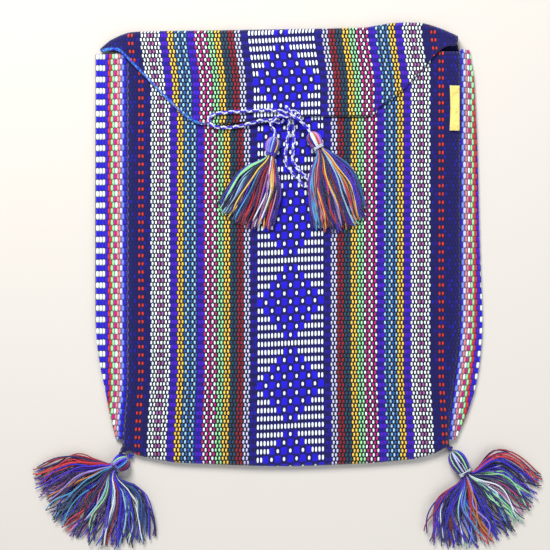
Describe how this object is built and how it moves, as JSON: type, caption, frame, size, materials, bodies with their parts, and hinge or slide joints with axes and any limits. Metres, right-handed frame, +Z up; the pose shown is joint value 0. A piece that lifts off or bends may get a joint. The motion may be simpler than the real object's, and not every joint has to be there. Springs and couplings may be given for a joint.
{
  "type": "handwoven drawstring flap bag",
  "caption": "Empty handwoven cotton bag lying flat on its back, with striped brocaded panels, a turned-over flap, folded side bands, a drawcord tied in a bow and yarn tassels",
  "frame": {"origin": "middle of the back panel's underside, on the surface that the bag lies on", "axes": "+X to the bag's right seen from the front, +Y from the bottom fold to the top fold, +Z up, away from the surface that the bag lies on"},
  "size_m": [0.398, 0.4133, 0.0235],
  "materials": {
    "body_weave": "matte handwoven cotton",
    "band_weave": "matte handwoven cotton",
    "label_tape": "woven tape",
    "cord_braid": "twisted cotton cord",
    "tassel_yarn": "loose twisted yarn",
    "tie_thread": "wound thread"
  },
  "bodies": {
    "root": {"body_cloth": "body_weave", "left_band": "band_weave", "right_band": "band_weave", "side_label": "label_tape", "drawcord_left": "cord_braid", "drawcord_right": "cord_braid", "cord_tassel_left": "tassel_yarn", "cord_tassel_right": "tassel_yarn", "cord_tie_left": "tie_thread", "cord_tie_right": "tie_thread", "corner_tassel_left": "tassel_yarn", "corner_tassel_right": "tassel_yarn", "corner_tie_left": "tie_thread", "corner_tie_right": "tie_thread", "corner_knot_left": "tie_thread", "corner_knot_right": "tie_thread"}
  },
  "joints": []
}
